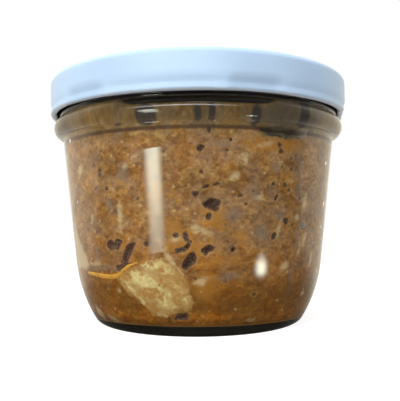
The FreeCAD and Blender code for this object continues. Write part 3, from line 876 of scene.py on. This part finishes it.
def meat_tone(look, place, grain, noises):
    """The mottled brown of the meat; low down more golden, and darker with painted shade."""
    height = split_axes(place)["Z"]
    warp, smear, patch, fine = noises
    brown = blend_colour(step_node(grain["Blotches"], 0.42, 0.58), look.mauve, look.meat)
    coats = Coats(brown)
    coats.over(step_node(smear, 0.44, 0.72, 0, 0.75), look.tan)
    coats.over(step_node(patch, 0.52, 0.68, 0, 0.65), look.amber)
    coats.over(step_node(smear, 0.3, 0.46, 0.45, 0), Vector(look.meat) * 0.5)
    shade = step_node(grain["Grain"], 0.3, 0.7, 0.78, 1.22)
    shade = multiply(shade, step_node(fine, 0.3, 0.7, 0.84, 1.16))
    coats.scale(multiply(shade, step_node(warp, 0.35, 0.65, 0.84, 1.12)))
    golden_and_shade = vector_node("MULTIPLY", coats.colour, GOLDEN_AND_SHADE)
    coats.over(step_node(height, 7 * MM, 30 * MM, 1, 0), golden_and_shade)
    # painted shade: a dark band low on the heel
    coats.over(band_node(height, (5.5, 8), (11, 18), 0.45), Vector(look.amber) * 0.3)
    return coats


def add_hollows(look, coats, ragged, fine):
    """Hollows darkened with painted shade, speckled, with a paler rim."""
    field = math_node("ADD", point_value(ragged.id_data, "hollow"), multiply(ragged, 0.75))
    coats.over(step_node(field, -0.7, -0.25, 0, 0.25), look.tan)
    speckle = step_node(fine, 0.48, 0.66, 0, 0.85)
    deep = blend_colour(speckle, look.void, Vector(look.slate) * 0.9)
    coats.over(step_node(field, -0.32, 0.02, 0, 0.92), deep)


def add_sunk_place(look, coats, ragged, smear):
    """Painted shade, grey, with painted pale glints where the filling has sunk at the glass."""
    field = math_node("ADD", point_value(ragged.id_data, "dip"), multiply(ragged, 0.3))
    sunk = step_node(field, -0.1, 0.12)
    lit = step_node(smear, 0.5, 0.62, 0, 0.6)
    coats.over(sunk, blend_colour(lit, Vector(look.slate) * 0.7, Vector(look.cream) * 0.7))
    return sunk


def meat_material(look):
    material, tree, shader = new_material("potted meat")
    grain = use_group(tree, marble_group(), Blotch_size=6 * MM, Grain_size=1.1 * MM)
    place = coordinates(tree)
    height = split_axes(place)["Z"]
    warp = noise_node(place, 160, 2, 0.5)
    bent = vector_node("MULTIPLY_ADD", warp.node.outputs["Color"], [7 * MM] * 3, place)
    smear = noise_node(coordinates(tree, (1, 1, 1.7)), 330, 3, 0.55, 0.7)
    patch = noise_node(bent, 200, 3, 0.6, 0.4)
    fine = noise_node(place, 1500, 3, 0.65)
    coats = meat_tone(look, place, grain, (warp, smear, patch, fine))
    ragged = math_node("ADD", around_zero(patch, 1.6), around_zero(smear, 1.6))

    def mask(name, soft, strength):
        field = math_node("ADD", point_value(tree, name), ragged)
        return step_node(field, -soft, soft, 0, strength)

    coats.over(mask("amber", 1.2, 0.62), look.amber)
    # grey jelly, and painted reflections where the tall streaks stand
    coats.over(mask("slate", 0.9, 0.55), look.slate)
    # specks of fat, and painted glints
    coats.over(mask("cream", 0.6, 0.7), look.cream)
    pore = dots(bent, 480, (0.5, 0.55), (0.06, 0.16))
    # painted shade in the pores
    coats.over(multiply(pore, 0.65), look.void)
    fleck = dots(place, 410, (0.5, 0.6), (0.05, 0.2))
    coats.over(multiply(fleck, 0.6), look.cream)
    add_hollows(look, coats, ragged, fine)
    sunk = add_sunk_place(look, coats, ragged, smear)

    # painted shade behind the bead and in the crease under it, and painted dark reflections in the bead
    near_bead_shade = step_node(height, 47.0 * MM, 51.6 * MM, 0, 0.3)
    behind_bead_shade = step_node(height, 50.6 * MM, 51.2 * MM, 0, 0.15)
    coats.over(math_node("ADD", near_bead_shade, behind_bead_shade), look.olive_shade)
    # painted shade: the grey at the bead's height is darkened
    shaded = multiply(step_node(height, 51.0 * MM, 51.6 * MM), mask("slate", 0.9, 0.4))
    coats.over(shaded, look.bar)
    coats.over(band_node(height, (50.2, 50.7), (51.1, 51.7), 0.75), Vector(look.void) * 0.55)
    coats.over(mask("bar", 0.35, 0.9), look.bar)

    # painted shade: the underside is dark, with a painted highlight as a pale line above it
    coats.over(step_node(height, 3.4 * MM, 3.7 * MM, 0.8, 0), look.tan)
    coats.over(step_node(height, 3.31 * MM, 3.38 * MM, 1, 0), look.foot)
    wet = math_node("SUBTRACT", 0.5, multiply(sunk, 0.25))
    set_inputs(shader, Base_Color=coats.colour, Roughness=wet, Specular_IOR_Level=0.15)
    bump(shader, math_node("SUBTRACT", grain["Height"], pore), 0.12 * MM, 0.35)
    return material


def store(mesh, name, values):
    layer = mesh.attributes.new(name, "FLOAT", "POINT")
    layer.data.foreach_set("value", values.astype(np.float32))


def settled_height(places, on_wall, sizes, look):
    """Heights with an uneven top, and with the smear on the glass lower at the front than elsewhere."""
    level, bore = look.level / MM, sizes.bore / MM
    lumps = np.zeros(len(places.radius))
    for turns, waves, phase, size in ((3, 0.09, 0.4, 0.35), (7, 0.16, 1.9, 0.25), (13, 0.26, 4.0, 0.15)):
        wave = np.sin(np.radians(places.azimuth) * turns + phase) * np.cos(places.radius * waves + phase)
        lumps += size * wave
    on_top = ~on_wall & (places.height > level - 1)
    fall = np.clip(0.5 + lumps, 0, None) * ease_all(bore - places.radius, 0.8, 3.0)
    aside = np.abs((places.azimuth - FRONT + 180) % 360 - 180)
    lowered = (0.72 - 0.5 * ease_all(aside, 22, 48)) * np.clip(places.height - level, 0, None)
    return places.height - np.where(on_top, fall, 0) - lowered


def sunk_field(places, on_wall, look):
    """How far in mm points are inside the sunk place, negative outside, and how deep it is there."""
    middle = math.radians(look.dip_azimuth)
    across = places.y * math.cos(middle) - places.x * math.sin(middle)
    facing = places.x * math.cos(middle) + places.y * math.sin(middle) > 0
    top, reach, half_height = (value / MM for value in (look.dip_top, look.dip_reach, look.dip_drop))
    wobble = 1 + 0.06 * np.sin(across * 1.1 + 1) + 0.05 * np.sin(across * 2.9)
    drop = np.clip(top - places.height, 0, None) / (half_height * wobble)
    spread = (drop**3 + np.abs(across / reach) ** 3) ** (1 / 3)
    pocket = on_wall & facing & (places.height < top)
    depth = look.dip_depth / MM * np.sqrt(np.clip(1 - spread**2, 0, None))
    return np.where(pocket, (1 - spread) * half_height, OUTSIDE), np.where(pocket, depth, 0)


def draw_filling(bm, sizes, look):
    """The filling's outline, from the axis up the wall and back; returns where its bore starts."""
    start, moves = cavity_moves(sizes, look.reach)
    bore_radius, bore_z = moves[-1]
    smear_top = bore_z + look.smear
    brink = (bore_radius - 2.5 * MM, look.level - 0.4 * MM)
    moves += ((bore_radius, smear_top), (bore_radius - 0.6 * MM, smear_top - 0.1 * MM), brink)
    draw_outline(bm, start, moves)
    for edge in list(bm.edges):
        on_floor = max(v.co.z for v in edge.verts) < sizes.floor_height
        divide(bm, edge, look.grain * (4 if on_floor else 1))
    rim = min((v for v in bm.verts if v.co.z > look.level - 1 * MM), key=lambda v: v.co.x)
    top = bmesh.ops.extrude_vert_indiv(bm, verts=[rim])
    top["verts"][0].co = (0, 0, brink[1])
    bmesh.ops.subdivide_edges(bm, edges=top["edges"], cuts=30)
    return bore_radius, bore_z


class JAR_OT_filling(bpy.types.Operator):
    """Make the filling, with its hollows and marks"""

    bl_idname = "jar_maker.filling"
    bl_label = "Filling"

    def execute(self, context):
        sizes, look = context.scene.jar_sizes, context.scene.filling_look
        bm = bmesh.new()
        bore_radius, bore_z = draw_filling(bm, sizes, look)
        turn_outline(bm, FILLING_STEPS)
        mesh = make_piece("filling", bm, meat_material(look), "rillettes").data

        points = np.empty(len(mesh.vertices) * 3, np.float32)
        mesh.vertices.foreach_get("co", points)
        points = points.reshape(-1, 3).astype(float)
        places = Places(points)
        heights = np.minimum(points[:, 2], bore_z)
        at_glass = np.array([wall_radius(sizes, height, look.reach) for height in heights]) / MM
        near_glass = places.radius > np.minimum(at_glass, bore_radius / MM) - WALL_SKIN
        on_wall = (near_glass | (places.height < HEEL_LEVEL)) & (places.radius > UNDERSIDE)

        marks = all_marks(look.seed)
        shapes = {"hollow": [corners for _, *corners in HOLLOW_SHAPES], "cream": CREAM_AND_GLINT_SHAPES}
        for name, listed in marks.items():
            field = field_of(listed, places)
            for corners in shapes.get(name, ()):
                field = np.maximum(field, inside_of(corners, places))
            store(mesh, name, np.where(on_wall, field, OUTSIDE))
        inward = np.where(on_wall, hollow_depth(marks["hollow"], places), 0)
        field, depth = sunk_field(places, on_wall, look)
        store(mesh, "dip", field)
        off_axis = np.maximum(places.radius, 0.001)
        kept = np.where(places.radius > 0.001, (places.radius - inward - depth) / off_axis, 1)
        points[:, :2] *= kept[:, None]
        points[:, 2] = settled_height(places, on_wall, sizes, look) * MM
        mesh.vertices.foreach_set("co", points.astype(np.float32).ravel())
        mesh.update()
        return {"FINISHED"}


# --- the two pieces of fat

# Corners of the lump, as azimuth from the front and height.
LUMP_OUTLINE = (
    (-38.5, 15), (-34, 16.5), (-28, 18), (-22, 19.5), (-14, 20.5), (-9, 18), (-4, 14.5), (-1.5, 9.5), (-3, 7),
    (-10, 6.5), (-15, 5), (-22, 5.5), (-25, 8), (-32, 10.5),
)
EDGE_WIDTH = 2.6  # mm over which the rim of a piece of fat is uneven
# Middle line of the strip: azimuth from the front, height, half width in mm.
STRIP_LINE = (
    (-59, 15.5, 0.5), (-46, 15, 0.8), (-40, 15, 0.75), (-36, 15.5, 0.75), (-30, 18, 0.5), (-25, 19, 0.4),
)


def band_outline(line):
    """Outline of a band from its middle line and half widths."""
    upper = [(azimuth, height + half) for azimuth, height, half in line]
    lower = [(azimuth, height - half) for azimuth, height, half in reversed(line)]
    return upper + lower


def wall_radius(sizes, height, reach):
    """Radius at which the inside of the wall lies, at a height."""
    radius, wall_x, wall_z = wall_foot(sizes, reach)
    if height >= wall_z:
        return wall_x + (height - wall_z) * math.tan(sizes.lean)
    heel_x, heel_z = heel_centre(sizes)
    drop = heel_z - height
    return heel_x + math.sqrt(max(radius**2 - drop**2, 0))


def fat_material(name, pale, warm, dark, rim_strength, fading):
    """Streaky fat; rim_strength darkens its edge and fading its right side."""
    material, tree, shader = new_material(name)
    grain = use_group(tree, marble_group(), Blotch_size=4.0 * MM, Grain_size=0.8 * MM)
    place = coordinates(tree)
    streaks = noise_node(coordinates(tree, (2.4, 2.4, 1), (0, math.radians(38), 0)), 90, 3, 0.6, 0.6)
    fine = noise_node(place, 520, 3, 0.6, 0.8)
    coats = Coats(blend_colour(step_node(streaks, 0.4, 0.58), warm, pale))
    coats.over(step_node(grain["Blotches"], 0.5, 0.6, 0, 0.85), dark)
    coats.over(step_node(fine, 0.56, 0.72, 0, 0.5), pale)
    right_side = step_node(split_axes(place)["X"], -14 * MM, -3 * MM, 0, fading)
    coats.over(multiply(right_side, step_node(fine, 0.62, 0.46)), dark)
    field = math_node("ADD", point_value(tree, "edge"), around_zero(fine, 2.4))
    coats.over(step_node(field, 0.35, 1.05, 0, rim_strength), Vector(dark) * 0.75)
    coats.scale(step_node(grain["Grain"], 0.3, 0.7, 0.86, 1.1))
    set_inputs(shader, Base_Color=coats.colour, Roughness=0.42, Specular_IOR_Level=0.2)
    bump(shader, grain["Height"], 0.15 * MM, 0.5)
    return material


def make_patch(name, outline, sizes, reach, depth, ragged, material, node):
    """A piece along the wall: its outline is filled, cut fine, laid on the wall and closed behind."""
    bm = bmesh.new()
    scale = wall_radius(sizes, outline[0][1] * MM, reach) / MM
    corners = [bmesh.ops.create_vert(bm, co=(math.radians(a) * scale, z, 0))["vert"][0] for a, z in outline]
    face = bm.faces.new(corners)
    if face.normal.z < 0:
        bmesh.ops.reverse_faces(bm, faces=[face])
    bmesh.ops.subdivide_edges(bm, edges=bm.edges[:], cuts=1, smooth=0.6)
    bmesh.ops.subdivide_edges(bm, edges=bm.edges[:], cuts=3, smooth=0.3, fractal=ragged, seed=3)
    cut_grid(bm, 0.5)
    for vert in bm.verts:
        vert.co.z = 0.0
    edge_layer = bm.verts.layers.float.new("edge")
    rim = np.array([vert.co[:2] for vert in bm.verts if vert.is_boundary])
    for vert in bm.verts:
        off = float(np.min(np.hypot(*(rim - np.array(vert.co[:2])).T)))
        vert[edge_layer] = 1 - min(off / EDGE_WIDTH, 1)
    back = bmesh.ops.extrude_face_region(bm, geom=bm.faces[:])
    for item in back["geom"]:
        if isinstance(item, bmesh.types.BMVert):
            item.co.z = -depth / MM
    for vert in bm.verts:
        azimuth = math.radians(FRONT) + vert.co.x / scale
        height = vert.co.y * MM
        dive = 0.3 * MM * max(0, 3 * vert[edge_layer] - 2) ** 3 if vert.co.z == 0 else 0
        radius = wall_radius(sizes, height, reach) + vert.co.z * MM - dive
        vert.co = (radius * math.cos(azimuth), radius * math.sin(azimuth), height)
    bmesh.ops.recalc_face_normals(bm, faces=bm.faces[:])
    make_piece(name, bm, material, node)


def cut_grid(bm, spacing):
    """Cut the flat face into a grid with planes."""
    for axis in (0, 1):
        places = [vert.co[axis] for vert in bm.verts]
        lowest, highest = min(places), max(places)
        normal = Vector((axis == 0, axis == 1, 0))
        for step in range(1, int((highest - lowest) / spacing) + 1):
            geom = bm.verts[:] + bm.edges[:] + bm.faces[:]
            point = normal * (lowest + spacing * step)
            bmesh.ops.bisect_plane(bm, geom=geom, dist=1e-5, plane_co=point, plane_no=normal)


class JAR_OT_fat(bpy.types.Operator):
    """Make the lump of pale fat and the strip of yellow fat"""

    bl_idname = "jar_maker.fat"
    bl_label = "Pieces of fat"

    def execute(self, context):
        sizes, look = context.scene.jar_sizes, context.scene.filling_look
        beige = Vector(look.fat).lerp(Vector(look.tan), 0.85)
        tan = Vector(look.tan).lerp(Vector(look.amber), 0.6)
        pale = fat_material("pale fat", look.fat, beige, tan, 0.95, 0.7)
        gold = Vector(look.yellow)
        yellow = fat_material("yellow fat", gold, gold * 0.9, gold * 0.8, 0.0, 0.0)
        strip = band_outline(STRIP_LINE)
        make_patch("fat_lump", LUMP_OUTLINE, sizes, 0.2 * MM, 3 * MM, 0.5, pale, "fat_chunk")
        make_patch("fat_band", strip, sizes, 0.26 * MM, 1.5 * MM, 0.0, yellow, "fat_strip")
        return {"FINISHED"}


# --- floor, lamps and camera


def floor_material():
    grey = Vector((0.46, 0.46, 0.46))
    finish = {"Roughness": 0.9, "Specular_IOR_Level": 0.0, "Emission_Color": (1, 1, 1)}
    material, shader, _ = cloudy_material("pale floor", grey, grey * 1.04, 500, 0.6, **finish)
    tree = material.node_tree
    set_inputs(shader, Emission_Strength=multiply(ray(tree, "Camera"), 0.8))

    # reflections show the floor pale behind the jar and dark before it
    backward = split_axes(coordinates(tree))["Y"]
    mirror = add(tree, "ShaderNodeEmission")
    set_inputs(mirror, Color=WARM, Strength=step_node(backward, -0.03, 0.05, 0.05, 0.9))
    finish_mixed(either_ray(tree, "Glossy", "Transmission"), shader, mirror)
    return material


def card_material(name, colour, strength, fade=None):
    """Light that only reflections show.

    fade is where along the card it starts and ends to fade in and what it has before; without it the
    light fades all round.
    """
    material, tree, shader = new_material(name)
    tree.nodes.remove(shader)
    place = split_axes(add(tree, "ShaderNodeUVMap").outputs[0])
    aside, over = (math_node("ABSOLUTE", math_node("SUBTRACT", place[i], 0.5), 0) for i in (0, 1))
    if fade:
        along = step_node(place[1], *fade, 1.0)
        level = multiply(along, step_node(aside, 0.1, 0.5, 1, 0))
    else:
        square = math_node("ADD", multiply(aside, aside), multiply(over, over))
        reach = math_node("POWER", square, 0.5)
        level = math_node("POWER", step_node(reach, 0.02, 0.5, 1, 0), 2.0)
    light = add(tree, "ShaderNodeEmission")
    set_inputs(light, Color=colour, Strength=multiply(level, strength))
    set_inputs(tree.nodes["Material Output"], Surface=light.outputs[0])
    return material


def turned_towards(place, target, front):
    """The turn that faces an object's front axis to the target."""
    return (Vector(target) - Vector(place)).to_track_quat(front, "Y")


def make_card(name, place, target, width, height, material):
    """A card that faces target, shown only in reflections."""
    bm = bmesh.new()
    bmesh.ops.create_grid(bm, x_segments=1, y_segments=1, size=0.5)
    layer = bm.loops.layers.uv.verify()
    for face in bm.faces:
        for loop in face.loops:
            loop[layer].uv = (loop.vert.co.x + 0.5, loop.vert.co.y + 0.5)
    bmesh.ops.scale(bm, vec=(width, height, 1), verts=bm.verts)
    facing = turned_towards(place, target, "Z").to_matrix().to_4x4()
    facing.translation = place
    bmesh.ops.transform(bm, matrix=facing, verts=bm.verts)
    card = make_object(name, bm, material)
    for kind in ("camera", "diffuse", "transmission", "shadow", "volume_scatter"):
        setattr(card, f"visible_{kind}", False)


def make_lamp(name, place, target, size, power, colour):
    lamp = bpy.data.lights.new(name, "AREA")
    lamp.shape = "DISK"
    lamp.size = size
    lamp.energy = power
    lamp.color = colour
    holder = bpy.data.objects.new(name, lamp)
    holder.location = place
    holder.rotation_euler = turned_towards(place, target, "-Z").to_euler()
    holder.visible_glossy = False
    holder.visible_transmission = False
    bpy.context.scene.collection.objects.link(holder)


def make_world(look):
    """White to the camera; dim and warm to reflections, more so from the front."""
    world = bpy.data.worlds.new("studio")
    world.use_nodes = True
    bpy.context.scene.world = world
    tree = world.node_tree
    direction = split_axes(add(tree, "ShaderNodeTexCoord").outputs["Generated"])
    behind = step_node(direction["Y"], -0.15, 0.3, 0.1, 1.0)
    bounced = either_ray(tree, "Glossy", "Transmission")
    seen = ray(tree, "Camera")
    shown = math_node("MAXIMUM", seen, multiply(behind, bounced))
    either = math_node("MAXIMUM", seen, bounced)
    plain = multiply(math_node("SUBTRACT", 1.0, either), look.sky)
    colour = blend_colour(bounced, (1, 1, 1), WARM)
    set_inputs(tree.nodes["Background"], Color=colour, Strength=math_node("ADD", shown, plain))


class JAR_OT_studio(bpy.types.Operator):
    """Make the floor, the light and the camera"""

    bl_idname = "jar_maker.studio"
    bl_label = "Studio"

    def execute(self, context):
        scene, look = context.scene, context.scene.studio_look
        bm = bmesh.new()
        bmesh.ops.create_grid(bm, x_segments=1, y_segments=1, size=FLOOR_HALF)
        make_object("floor", bm, floor_material())

        make_world(look)
        middle = (0, 0, 0.035)
        make_lamp("key", (-0.34, -0.42, 0.42), middle, 0.3, look.key, (1, 0.98, 0.95))
        make_lamp("fill", (0.45, -0.3, 0.25), middle, 0.3, look.key * 0.12, (0.95, 0.98, 1))
        make_lamp("top", (0, -0.12, 0.55), (0, 0, 0.06), 0.25, look.key * 0.5, (1, 1, 1))
        cream = (0.95, 1.0, 0.84)
        tall = card_material("tall card", cream, 14, fade=(-0.1, 0.9, 0.32))
        make_card("tall_card", (-0.0495, -0.0885, 0.023), (-0.01, -0.0365, 0.0335), 0.027, 0.037, tall)
        small = card_material("small card", cream, 22)
        make_card("small_card", (0.033, -0.0435, 0.011), (0.0155, -0.0325, 0.0185), 0.014, 0.015, small)
        front = card_material("front card", (0.85, 0.92, 1.0), 8, fade=(-1, 0, 1))
        make_card("front_card", (-0.11, -0.5, 0.215), (0, -0.042, 0.055), 1.1, 0.1, front)

        camera = bpy.data.cameras.new("camera")
        camera.lens = look.lens
        camera.sensor_width = 36
        camera.clip_start = 0.01
        camera.clip_end = 20
        holder = bpy.data.objects.new("camera", camera)
        holder.location = (look.aside, -look.distance, look.height)
        holder.rotation_euler = (math.pi / 2 + look.pitch, look.roll, 0)
        scene.collection.objects.link(holder)
        scene.camera = holder
        scene.view_settings.view_transform = "Standard"
        return {"FINISHED"}


class JAR_PT_maker(bpy.types.Panel):
    """Sizes, colours and one button for each piece"""

    bl_idname = "JAR_PT_maker"
    bl_label = "Jar"
    bl_space_type = "VIEW_3D"
    bl_region_type = "UI"
    bl_category = "Jar"

    def draw(self, context):
        for operator in OPERATORS:
            self.layout.operator(operator.bl_idname)
        for name, group in GROUPS.items():
            box = self.layout.box()
            for key in group.__annotations__:
                box.prop(getattr(context.scene, name), key)


OPERATORS = (JAR_OT_glass, JAR_OT_lid, JAR_OT_seal, JAR_OT_filling, JAR_OT_fat, JAR_OT_studio)
CLASSES = (*GROUPS.values(), *OPERATORS, JAR_PT_maker)


def register():
    for item in CLASSES:
        bpy.utils.register_class(item)
    for name, group in GROUPS.items():
        setattr(bpy.types.Scene, name, PointerProperty(type=group))


def unregister():
    for name in GROUPS:
        delattr(bpy.types.Scene, name)
    for item in reversed(CLASSES):
        bpy.utils.unregister_class(item)


def main():
    register()
    bpy.ops.jar_maker.glass()
    bpy.ops.jar_maker.lid()
    bpy.ops.jar_maker.seal()
    bpy.ops.jar_maker.filling()
    bpy.ops.jar_maker.fat()
    bpy.ops.jar_maker.studio()


if __name__ == "__main__":
    main()
